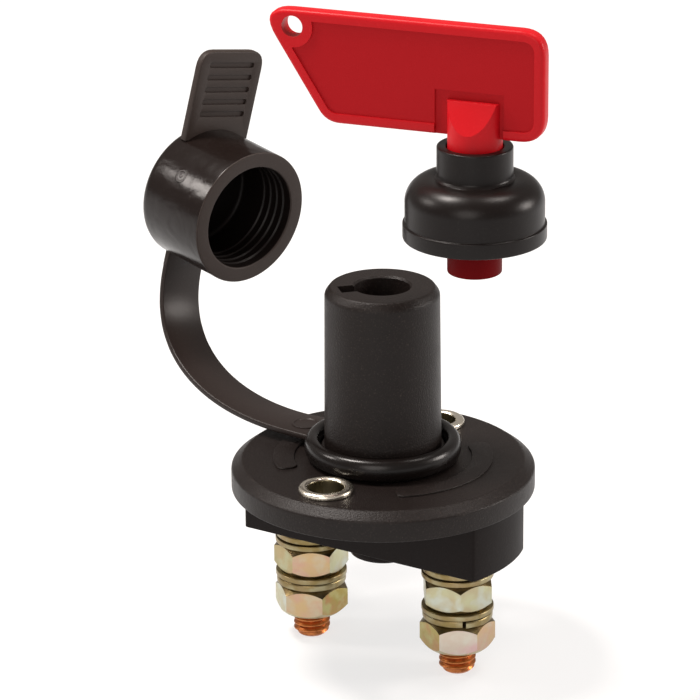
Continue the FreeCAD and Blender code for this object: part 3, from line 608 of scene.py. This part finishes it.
def make_block():
    bar = beveled(block_prism(BLOCK_BOTTOM, FLANGE_BOTTOM, 0, 0.7), 0.3, 60, 3,
                  lambda e: max(v.co.z for v in e.verts) < BLOCK_BOTTOM + 0.01)
    boss = lathe([(0, BOSS_BOTTOM), (BOSS_R, BOSS_BOTTOM, 1.6), (BOSS_R, BLOCK_BOTTOM + 0.3),
                  (0, BLOCK_BOTTOM + 0.3)], 72)
    body = carved(bar, [boss], "UNION")
    above, below = FLANGE_BOTTOM + 1, BLOCK_BOTTOM - 1
    cuts = [slab(2 * POCKET_HALF_L, 2 * POCKET_HALF_W, POCKET_FLOOR, above),
            drum(WELL_R, WELL_FLOOR, above)]
    for x in (-STUD_X, STUD_X):
        cuts += [drum(HEAD_POCKET_R, POCKET_FLOOR, above + 0.5, x),
                 drum(STUD_R, below, POCKET_FLOOR + 0.5, x)]
    for x, y in screw_places():
        cuts += [drum(SCREW_R, below, above, x, y, 24),
                 drum(SCREW_HEAD_R, below - 0.5, BLOCK_BOTTOM + SCREW_HEAD_H, x, y, 32)]
    return piece(carved(body, cuts), "block_moulding", "switch_body", BLACK_NYLON_SMOOTH, "black_nylon",
                 ["terminal_block"])


# ---- studs and fasteners ----

def threaded_tip(x):
    """Helical thread on the free end of a stud, cut off square and chamfered at the tip."""
    turns, per_turn = 6, 40
    bm = bmesh.new()
    flat = THREAD_PITCH / 8
    start = STUD_TIP - THREAD_PITCH
    root = CREST_R - THREAD_DEPTH
    outline = [(root, 0), (CREST_R, THREAD_PITCH / 2 - flat), (CREST_R, THREAD_PITCH / 2 + flat / 2),
               (root, THREAD_PITCH)]
    verts = [bm.verts.new((r, 0, start + z)) for r, z in outline]
    edges = [bm.edges.new(pair) for pair in zip(verts, verts[1:])]
    bmesh.ops.spin(bm, geom=verts + edges, cent=(0, 0, 0), axis=(0, 0, 1), angle=math.tau * turns,
                   steps=per_turn * turns, dvec=(0, 0, THREAD_PITCH / per_turn), use_merge=False,
                   use_duplicate=False)
    bmesh.ops.remove_doubles(bm, verts=bm.verts[:], dist=1e-3)
    top = start + THREAD_PITCH * turns
    for height, normal in ((STUD_TIP, (0, 0, -1)), (top, (0, 0, 1))):
        cut = bmesh.ops.bisect_plane(bm, geom=bm.verts[:] + bm.edges[:] + bm.faces[:], dist=1e-5,
                                     plane_co=(0, 0, height), plane_no=normal, clear_outer=True)
        rim = [e for e in cut["geom_cut"] if isinstance(e, bmesh.types.BMEdge)]
        bmesh.ops.holes_fill(bm, edges=rim)
    for v in bm.verts:
        limit = CREST_R - TIP_BEVEL + max(0.0, v.co.z - STUD_TIP)
        radius = math.hypot(v.co.x, v.co.y)
        if radius > limit:
            v.co.x *= limit / radius
            v.co.y *= limit / radius
    bmesh.ops.recalc_face_normals(bm, faces=bm.faces[:])
    return shifted(bm, x), top


def make_stud(side, x):
    tip, thread_top = threaded_tip(x)
    low = HEAD_TOP - HEAD_T
    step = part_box("terminal_nut_" + side)[0].z / MM + 1
    thin_r, thick_r, foot = CREST_R - 0.4, STUD_R - 0.02, thread_top - 0.2
    shank = lathe([(0, foot), (thin_r, foot), (thin_r, step), (thick_r, step), (thick_r, low),
                   (HEAD_R, low, 0.3), (HEAD_R, HEAD_TOP, 0.3), (0, HEAD_TOP)], 64)
    name = "stud_" + side
    body = joined(shifted(shank, x), tip)
    return piece(body, name + "_threaded", "switch_body", COPPER, "copper", [name], 30)


def make_nuts():
    """Hexagon nuts whose side faces take a tint of the yellow zinc plate chosen by the way they face the
    front; the upward faces take a near-black zinc that is painted shade, the dark of the block above
    reflected in them.
    """
    tints = [ZINC_OLIVE, ZINC_PINK, ZINC_PALE, ZINC_BRONZE, ZINC_ROSE, ZINC_PAINTED_SHADE]
    olive, pink, pale, bronze, rose, dark = range(6)
    faces = {"clamp_nut_left": (olive, pink, pale), "terminal_nut_left": (pale, pink, bronze),
             "clamp_nut_right": (pale, pale, pale), "terminal_nut_right": (bronze, rose, pink)}
    for place, (left, middle, right) in faces.items():
        body = beveled(cad_copy(place), 0.3, 20, 3)
        body.normal_update()
        for face in body.faces:
            # upward faces: near-black zinc as painted shade; downward faces keep the olive tint
            if abs(face.normal.z) >= 0.2:
                face.material_index = dark if face.normal.z > 0 else olive
                continue
            facing = math.degrees(math.atan2(face.normal.y, face.normal.x))
            turn = (facing - FRONT_DEG + 180) % 360 - 180
            beside = left if turn < 0 else right
            face.material_index = middle if abs(turn) <= FRONT_SPREAD_DEG else beside
        slot = "zinc_nut_warm" if "left" in place else "zinc_nut_olive"
        piece(body, place + "_hex", "switch_body", tints, slot, [place], 20)


def washer(low, high, outer, hole, x):
    bm = lathe([(hole, low, 0.15), (outer, low, 0.35), (outer, high, 0.35), (hole, high, 0.15)], 80)
    return shifted(bm, x)


def split_washer(low, high, outer, hole, x, split_deg):
    """Sprung ring of square wire, wound a little way up so that its two ends stand apart."""
    gap_deg, lift, steps = 6.0, 0.3, 88
    bm = bmesh.new()
    verts = [bm.verts.new((p.x, 0, p.y)) for p in softened(
        [(hole, low, 0.3), (outer, low, 0.5), (outer, high - lift, 0.5), (hole, high - lift, 0.3)], 3)]
    face = bm.faces.new(verts)
    bmesh.ops.spin(bm, geom=[face] + face.verts[:] + face.edges[:], cent=(0, 0, 0), axis=(0, 0, 1),
                   angle=math.radians(360 - gap_deg), steps=steps, dvec=(0, 0, lift / steps),
                   use_duplicate=False)
    bmesh.ops.recalc_face_normals(bm, faces=bm.faces[:])
    return shifted(spun(bm, split_deg + gap_deg / 2), x)


def make_washers():
    places = {"left": -STUD_X, "right": STUD_X}
    # every washer takes the darker zinc, which is painted shade
    for node in ("base_washers", "clamp_washers", "terminal_washers"):
        low, high = (corner.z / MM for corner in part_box(node))
        both = [washer(low, high, WASHER_R, WASHER_HOLE_R, x) for x in places.values()]
        piece(joined(*both), node + "_flat", "switch_body", ZINC_WASHER_PAINTED_SHADE, "zinc_washer", [node], 40)
    for node, splits in (("clamp_spring_washers", (100, 100)), ("terminal_spring_washers", (150, 312))):
        low, high = (corner.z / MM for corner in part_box(node))
        both = [split_washer(low, high, LOCK_R, LOCK_HOLE_R, x, split_deg)
                for x, split_deg in zip(places.values(), splits)]
        piece(joined(*both), node + "_sprung", "switch_body", ZINC_WASHER_PAINTED_SHADE, "zinc_washer", [node], 40)


# ---- tether ----

def make_collar():
    """One soft roll, as wide as it is high, that stands on the flange round the barrel's root."""
    middle_z = (COLLAR_LOW + COLLAR_TOP) / 2
    half = COLLAR_TOP - middle_z
    profile = []
    for k in range(37):
        angle = math.radians(-90 + 10 * k)
        reach = COLLAR_R - COLLAR_CREST_R if math.cos(angle) > 0 else COLLAR_CREST_R - COLLAR_IN_R
        squash = math.copysign(abs(math.cos(angle)) ** 0.8, math.cos(angle))
        profile.append((COLLAR_CREST_R + reach * squash, middle_z + half * math.sin(angle)))
    ring = lathe(profile[:-1], 140)
    return piece(ring, "collar_ring", "tether", GLOSSY_RUBBER, "black_rubber", ["tether_collar"], 60)


def cap_axes():
    """Opening direction, tab direction and the direction across them, of the dust cap."""
    turn, tilt = math.radians(CAP_TURN_DEG), math.radians(CAP_TILT_DEG)
    opening = Vector((math.cos(turn) * math.cos(tilt), math.sin(turn) * math.cos(tilt), math.sin(tilt)))
    upright = (Vector((0, 0, 1)) - opening * opening.z).normalized()
    tab = Matrix.Rotation(-math.radians(CAP_ROLL_DEG), 3, opening) @ upright
    return opening, tab, opening.cross(tab).normalized()


def cap_matrix():
    """Takes a shape drawn with its opening along +Z and its tab along +X to the cap's place."""
    opening, tab, across = cap_axes()
    turn = Matrix((tab, across, opening)).transposed()
    return Matrix.Translation(CAP_END) @ turn.to_4x4()


def bezier(a, b, c, d, share):
    rest = 1 - share
    return a * rest ** 3 + b * 3 * share * rest ** 2 + c * 3 * share ** 2 * rest + d * share ** 3


def strap_line():
    """Points along the middle of the strap, from inside the collar to inside the cap's wall."""
    opening, tab = cap_axes()[:2]
    start = polar(STRAP_ROOT_R, STRAP_DEG, STRAP_Z)
    middle = CAP_LUG_Z + STRAP_T / 2
    end = CAP_END - tab * (CAP_R + CAP_LUG) + opening * middle
    poles = (start, start + polar(STRAP_ROOT_PULL, STRAP_DEG), end - tab * STRAP_CAP_PULL, end)
    points = [polar(STRAP_HIDDEN_R, STRAP_DEG, STRAP_Z), polar(22.0, STRAP_DEG, STRAP_Z)]
    points += [bezier(*poles, k / 60) for k in range(61)]
    points += [end + tab * (CAP_LUG * 0.6), end + tab * (CAP_LUG + 1.6)]
    return points


def along(points, share):
    """Point and direction at a share of a line's length."""
    spans = [(b - a).length for a, b in zip(points, points[1:])]
    left = share * sum(spans)
    for i, span in enumerate(spans):
        if left <= span or i == len(spans) - 1:
            before = points[max(i - 1, 0)]
            after = points[min(i + 2, len(points) - 1)]
            return points[i].lerp(points[i + 1], left / span), (after - before).normalized()
        left -= span


def runs_lengthwise(edge):
    return abs((edge.verts[0].co - edge.verts[1].co).normalized().x) > 0.99


def make_strap():
    across = cap_axes()[2]
    width_a = polar(1, STRAP_DEG - 90)
    width_b = across if across.dot(width_a) > 0 else -across
    line = strap_line()
    bm = slab(1.0, STRAP_W, -STRAP_T / 2, STRAP_T / 2, 0.5)
    beveled(bm, 0.45, 60, 3, runs_lengthwise)
    long_edges = [e for e in bm.edges if runs_lengthwise(e)]
    bmesh.ops.subdivide_edges(bm, edges=long_edges, cuts=STRAP_SLICES, use_grid_fill=True)
    for v in bm.verts:
        share = min(max(v.co.x, 0.0), 1.0)
        centre, tangent = along(line, share)
        width = width_a.lerp(width_b, share)
        width = (width - tangent * width.dot(tangent)).normalized()
        thick = tangent.cross(width).normalized()
        v.co = centre + width * v.co.y + thick * v.co.z
    bmesh.ops.recalc_face_normals(bm, faces=bm.faces[:])
    strap = piece(bm, "strap_ribbon", None, STRAP_RUBBER, "black_rubber", ["tether_strap"], 50)
    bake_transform(strap)
    return strap


def make_strap_mark():
    top = STRAP_Z + STRAP_T / 2
    low, crest, middle = top - 0.3, top + 0.3, top + 0.06
    disc = lathe([(0, low), (MARK_R, low), (MARK_R, crest, 0.12), (MARK_R - 0.5, crest, 0.12),
                  (MARK_R - 0.8, middle, 0.1), (0, middle)], 48)
    shifted(disc, MARK_AT_R)
    return piece(spun(disc, STRAP_DEG), "strap_gate_mark", "tether", STRAP_RUBBER, "black_rubber", (), 40)


def cap_cup():
    inner = []
    floor = CAP_DEPTH - CAP_HOLLOW
    for i in range(SEAL_RIBS):
        z = CAP_DEPTH - SEAL_RIB_FROM_RIM - i * SEAL_RIB_PITCH
        inner += [(CAP_MOUTH_R, z + 0.5, 0.15), (CAP_MOUTH_R - SEAL_RIB_H, z, 0.2),
                  (CAP_MOUTH_R, z - 0.5, 0.15)]
    return lathe([
        (0, 0), (CAP_R, 0, 2.6), (CAP_R, CAP_DEPTH, 0.45), (CAP_MOUTH_R, CAP_DEPTH, 0.5),
        *inner, (CAP_MOUTH_R, floor, 1.5), (0, floor),
    ], 128, 6)


def cap_tab():
    """Pull tab with rounded corners and a row of finger grooves."""
    foot, half = CAP_R - 3.4, TAB_W / 2
    end = TAB_REACH
    plan = [(foot, -half), (end, -half, TAB_CORNER_R * 1.5), (end, half, TAB_CORNER_R * 1.5), (foot, half)]
    body = beveled(prism(plan, TAB_Z, TAB_Z + TAB_T, 7), 0.5, 60, 3)
    slots = []
    for i in range(GROOVES):
        x = end - GROOVE_FROM_END - i * GROOVE_PITCH
        a, b = GROOVE_W / 2, GROOVE_L / 2
        slots.append(prism([(x - a, -b, a), (x + a, -b, a), (x + a, b, a), (x - a, b, a)],
                           TAB_Z + TAB_T - GROOVE_DEPTH, TAB_Z + TAB_T + 1, 6))
    body = carved(body, slots)
    return beveled(body, 0.18, 50, 2, lambda e: min(v.co.z for v in e.verts) > TAB_Z + TAB_T - 0.02)


def gate_mark():
    """Small sunk ring that the moulding gate left on the cap's side wall, facing up and to the side."""
    disc = lathe([(0, -0.6), (GATE_R, -0.6), (GATE_R, 0.02, 0.1), (1.5, 0.1, 0.2), (0.9, -0.05, 0.2),
                  (0.35, 0.16, 0.1), (0, 0.16)], 40)
    stand = Matrix.Rotation(math.radians(90), 4, "Y")
    lift = Matrix.Translation((CAP_R - 0.05, 0, GATE_Z))
    around = Matrix.Rotation(math.radians(GATE_DEG), 4, "Z")
    return placed(disc, around @ lift @ stand)


def make_cap():
    """Cup, tab and lug; the wall is glossy, and the tab's faces and the rim are duller and a lighter rubber
    that is painted reflection; the inside of the cup is a darker rubber, painted shade.
    """
    lug = slab(CAP_LUG + 4, STRAP_W, CAP_LUG_Z, CAP_LUG_Z + STRAP_T, -CAP_R - CAP_LUG / 2 + 2)
    beveled(lug, 0.4, 60, 3)
    body = joined(cap_cup(), cap_tab(), lug, gate_mark())
    for face in body.faces:
        spot = face.calc_center_median()
        radius = spot.xy.length
        on_rim = spot.z > CAP_DEPTH - 0.3 and radius > CAP_MOUTH_R
        inside = radius < CAP_MOUTH_R + 0.1 and spot.z > CAP_DEPTH - CAP_HOLLOW - 0.1
        # rim, tab and lug: the lighter rubber, painted reflection
        if on_rim or radius > CAP_R + 0.3:
            face.material_index = 1
        # inside of the cup: the darker rubber, painted shade
        elif inside:
            face.material_index = 2
    body = placed(body, cap_matrix())
    return piece(body, "cap_cup", "dust_cap", [CAP_RUBBER, SATIN_RUBBER_PAINTED_REFLECTION, RUBBER_PAINTED_SHADE], "black_rubber",
                 ["dust_cap"], 40)


# ---- key ----

def make_boot():
    mid_r = BOOT_NECK_R + (BOOT_DOME_R - BOOT_NECK_R) * 0.80
    mid_z = BOOT_SHOULDER + (BOOT_DOME_TOP - BOOT_SHOULDER) * 0.66
    shoulder, bow, top = (BOOT_DOME_R, BOOT_SHOULDER), (mid_r, mid_z), (BOOT_NECK_R + 0.5, BOOT_DOME_TOP)
    wall = BOOT_WALL
    under = [(BOOT_NECK_IN_R, BOOT_DOME_TOP - wall, 0.5), (mid_r - wall, mid_z - wall, 1.5),
             (BOOT_INNER_R, BOOT_SHOULDER - wall, 1.0)]
    shell = lathe([
        (BOOT_INNER_R, 0, 0.3), (BOOT_SKIRT_R, 0, 0.6), (BOOT_SKIRT_R, BOOT_SKIRT_H, 0.6),
        (BOOT_DOME_R, BOOT_SKIRT_H + 0.05, 0.15), shoulder, *arc_through(shoulder, bow, top, 18),
        (BOOT_NECK_R, BOOT_DOME_TOP + 0.6, 0.4), (BOOT_NECK_R, BOOT_H, 0.5), (BOOT_NECK_IN_R, BOOT_H, 0.5),
        *under,
    ], 128, 6)
    shifted(shell, *HOVER)
    return piece(shell, "boot_moulding", "boot", BOOT_RUBBER, "black_rubber", ["key_boot"], 50)


def flag_plate(inset, low, high):
    """Plate with the flag's outline pulled in by inset, lying flat: length along X, height along Y."""
    slope = (FLAG_FAR_TOP - FLAG_FAR_BOTTOM) / (FLAG_TOP - FLAG_LOW)
    reach = inset * math.sqrt(1 + slope * slope)
    foot, head = FLAG_LOW + inset, FLAG_TOP - inset
    round_off, tip = max(FLAG_CORNER_R - inset, 1.0) * 1.25, max(FLAG_TIP_R - inset, 1.0) * 1.6
    near = FLAG_NEAR + inset
    far_foot, far_head = FLAG_FAR_BOTTOM + slope * inset - reach, FLAG_FAR_TOP - slope * inset - reach
    return prism([
        (near, foot, round_off), (far_foot, foot, round_off * 0.55),
        (far_head, head, tip), (near, head, round_off),
    ], low, high, 9)


def flag_cutters(side):
    """Sunk panel and deeper window of one face; side is 1 or -1."""
    outside = side * FLAG_T
    panel = side * (FLAG_T / 2 - FLAG_RECESS)
    sheet = flag_plate(FLAG_BORDER, min(panel, outside), max(panel, outside))
    ring = drum(HOLE_R + HOLE_RING, -FLAG_T - 1, FLAG_T + 1, HOLE_X, HOLE_Z)
    window, past = side * (FLAG_T / 2 - WINDOW_RECESS), outside * 1.1
    low, height = FLAG_LOW - 1, WINDOW_TOP - FLAG_LOW + 1
    opening = slab(WINDOW_FAR - WINDOW_NEAR, height, min(window, past), max(window, past),
                   (WINDOW_FAR + WINDOW_NEAR) / 2, low + height / 2)
    return [carved(sheet, [ring]), opening]


def make_flag():
    plate = beveled(flag_plate(0, -FLAG_T / 2, FLAG_T / 2), 1.1, 60, 5)
    hole = drum(HOLE_R, -FLAG_T, FLAG_T, HOLE_X, HOLE_Z)
    plate = carved(plate, flag_cutters(1) + flag_cutters(-1) + [hole])
    beveled(plate, 0.16, 50, 2)
    for face in plate.faces:
        level = abs(face.calc_center_median().z)
        if abs(face.normal.z) > 0.9 and level < FLAG_T / 2 - FLAG_RECESS + 0.05:
            face.material_index = 1
    return placed(plate, Matrix.Rotation(math.radians(90), 4, "X"))


def make_stem():
    """Round stem with a wedge-shaped top, a locking lug and a driving slot."""
    stem = lathe([(0, STEM_TIP), (STEM_R, STEM_TIP, 0.5), (STEM_R, 0.2), (STEM_R, STEM_FACE_TOP),
                  (0, STEM_FACE_TOP)], 96)
    cutters = []
    for side in (-1, 1):
        lean = (STEM_R - STEM_FACE_HALF) / (STEM_FACE_TOP - STEM_FACE_BOTTOM)
        below, above = STEM_FACE_BOTTOM - 1, STEM_FACE_TOP + 1
        profile = [(side * (STEM_R + lean), below), (side * (STEM_FACE_HALF - lean), above),
                   (side * CUTTER_REACH, above), (side * CUTTER_REACH, below)]
        wedge = prism(profile, -CUTTER_REACH, CUTTER_REACH)
        turn = Matrix(((0, 0, 1, 0), (1, 0, 0, 0), (0, 1, 0, 0), (0, 0, 0, 1)))
        cutters.append(placed(wedge, turn))
    lug_deg = SLOT_DEG - FLAG_DEG
    slot = slab(DRIVE_SLOT_L, DRIVE_SLOT_W, STEM_TIP - 1, STEM_TIP + DRIVE_SLOT_DEPTH)
    cutters.append(spun(slot, lug_deg))
    body = beveled(carved(stem, cutters), 0.3, 55, 3)
    lug_top = KEY_LUG_LOW + KEY_LUG_H
    lug = beveled(slab(KEY_LUG_REACH, KEY_LUG_W, KEY_LUG_LOW, lug_top, KEY_LUG_REACH / 2), 0.3)
    body = joined(body, spun(lug, lug_deg))
    for face in body.faces:
        if face.calc_center_median().z < 0:
            face.material_index = 2
    return body


def make_key():
    body = spun(joined(make_flag(), make_stem()), FLAG_DEG)
    finishes = [RED_GLOSS, RED_PANEL, RED_SHADED]
    return piece(shifted(body, *HOVER), "key_moulding", "key", finishes, "red_plastic", ["key"], 20)


# ---- inside pieces, which stay as the CAD has them ----

def finish_inner_nodes():
    finishes = {
        "block_gasket": GASKET, "housing_screws": ZINC_STEEL, "rotor": NATURAL_NYLON, "rotor_seal": GASKET,
        "pusher": NATURAL_NYLON, "contact_bridge": COPPER, "retaining_clip": SPRING_STEEL,
        "contact_spring": SPRING_STEEL, "return_spring": SPRING_STEEL,
    }
    for node, material in finishes.items():
        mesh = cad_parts[node].data
        mesh.materials.clear()
        mesh.materials.append(material)


# ---- studio, in metres ----

FLOOR_Z, FLOOR_SIZE, FLOOR_TONE, FLOOR_GLOW = STUD_TIP * MM, 4.0, 0.30, 0.66
VIEW_TURN_DEG, VIEW_RISE_DEG, VIEW_ROLL_DEG, VIEW_DISTANCE = 32.4, 20.5, -0.45, 1.08
VIEW_TARGET = Vector((-0.00703, -0.00449, 0.02953))
LENS, SENSOR = 216.6, 36.0
LIGHT_TINT, WORLD_STRENGTH = (1.0, 0.93, 0.88), 0.32


def make_floor():
    bm = bmesh.new()
    bmesh.ops.create_grid(bm, x_segments=1, y_segments=1, size=FLOOR_SIZE)
    floor = object_from(shifted(bm, 0, 0, FLOOR_Z), "studio_floor")
    material, _, shader, _ = new_material("studio_white")
    shader.inputs["Base Color"].default_value = (FLOOR_TONE, FLOOR_TONE, FLOOR_TONE, 1)
    shader.inputs["Emission Color"].default_value = (1, 1, 1, 1)
    shader.inputs["Emission Strength"].default_value = FLOOR_GLOW
    shader.inputs["Roughness"].default_value = 0.8
    shader.inputs["Specular IOR Level"].default_value = 0.1
    floor.data.materials.append(material)


def area_light(name, place, size, power, aim=(0, 0, 0.03)):
    data = bpy.data.lights.new(name, "AREA")
    data.shape, data.size, data.energy, data.color = "DISK", size, power, LIGHT_TINT
    light = bpy.data.objects.new(name, data)
    light.location = place
    light.rotation_euler = (Vector(aim) - Vector(place)).to_track_quat("-Z", "Y").to_euler()
    bpy.context.scene.collection.objects.link(light)


def make_lights():
    turn = math.radians(VIEW_TURN_DEG)
    right = Vector((math.cos(turn), math.sin(turn), 0))
    away = Vector((-math.sin(turn), math.cos(turn), 0))
    up = Vector((0, 0, 1))
    area_light("key_light", right * -0.50 + away * 0.10 + up * 1.17, size=0.34, power=18)
    area_light("left_light", right * -1.05 + away * 0.10 + up * 0.72, size=0.30, power=5)
    area_light("top_light", right * 0.45 + away * 0.05 + up * 1.15, size=0.40, power=6)
    area_light("side_light", right * 1.10 + away * 0.05 + up * 0.35, size=0.40, power=7)
    area_light("front_light", right * -0.30 + away * -1.20 + up * 0.50, size=0.80, power=5)
    world = bpy.data.worlds.new("studio_world")
    world.use_nodes = True
    background = world.node_tree.nodes["Background"]
    background.inputs["Color"].default_value = (*LIGHT_TINT, 1)
    background.inputs["Strength"].default_value = WORLD_STRENGTH
    bpy.context.scene.world = world


def make_camera():
    data = bpy.data.cameras.new("studio_camera")
    data.lens, data.sensor_width = LENS, SENSOR
    data.clip_start, data.clip_end = 0.01, 20
    camera = bpy.data.objects.new("studio_camera", data)
    turn, rise = math.radians(VIEW_TURN_DEG), math.radians(VIEW_RISE_DEG)
    look = Vector((-math.sin(turn) * math.cos(rise), math.cos(turn) * math.cos(rise), -math.sin(rise)))
    camera.location = VIEW_TARGET - look * VIEW_DISTANCE
    roll = Matrix.Rotation(math.radians(VIEW_ROLL_DEG), 3, "Z")
    camera.rotation_euler = (look.to_track_quat("-Z", "Y").to_matrix() @ roll).to_euler()
    bpy.context.scene.collection.objects.link(camera)
    bpy.context.scene.camera = camera


make_housing()
make_eyelets()
make_block()
for side, x in (("left", -STUD_X), ("right", STUD_X)):
    make_stud(side, x)
make_nuts()
make_washers()
make_collar()
make_strap()
make_strap_mark()
make_cap()
make_boot()
make_key()
finish_inner_nodes()
make_floor()
make_lights()
make_camera()
bpy.context.scene.view_settings.view_transform = "Standard"
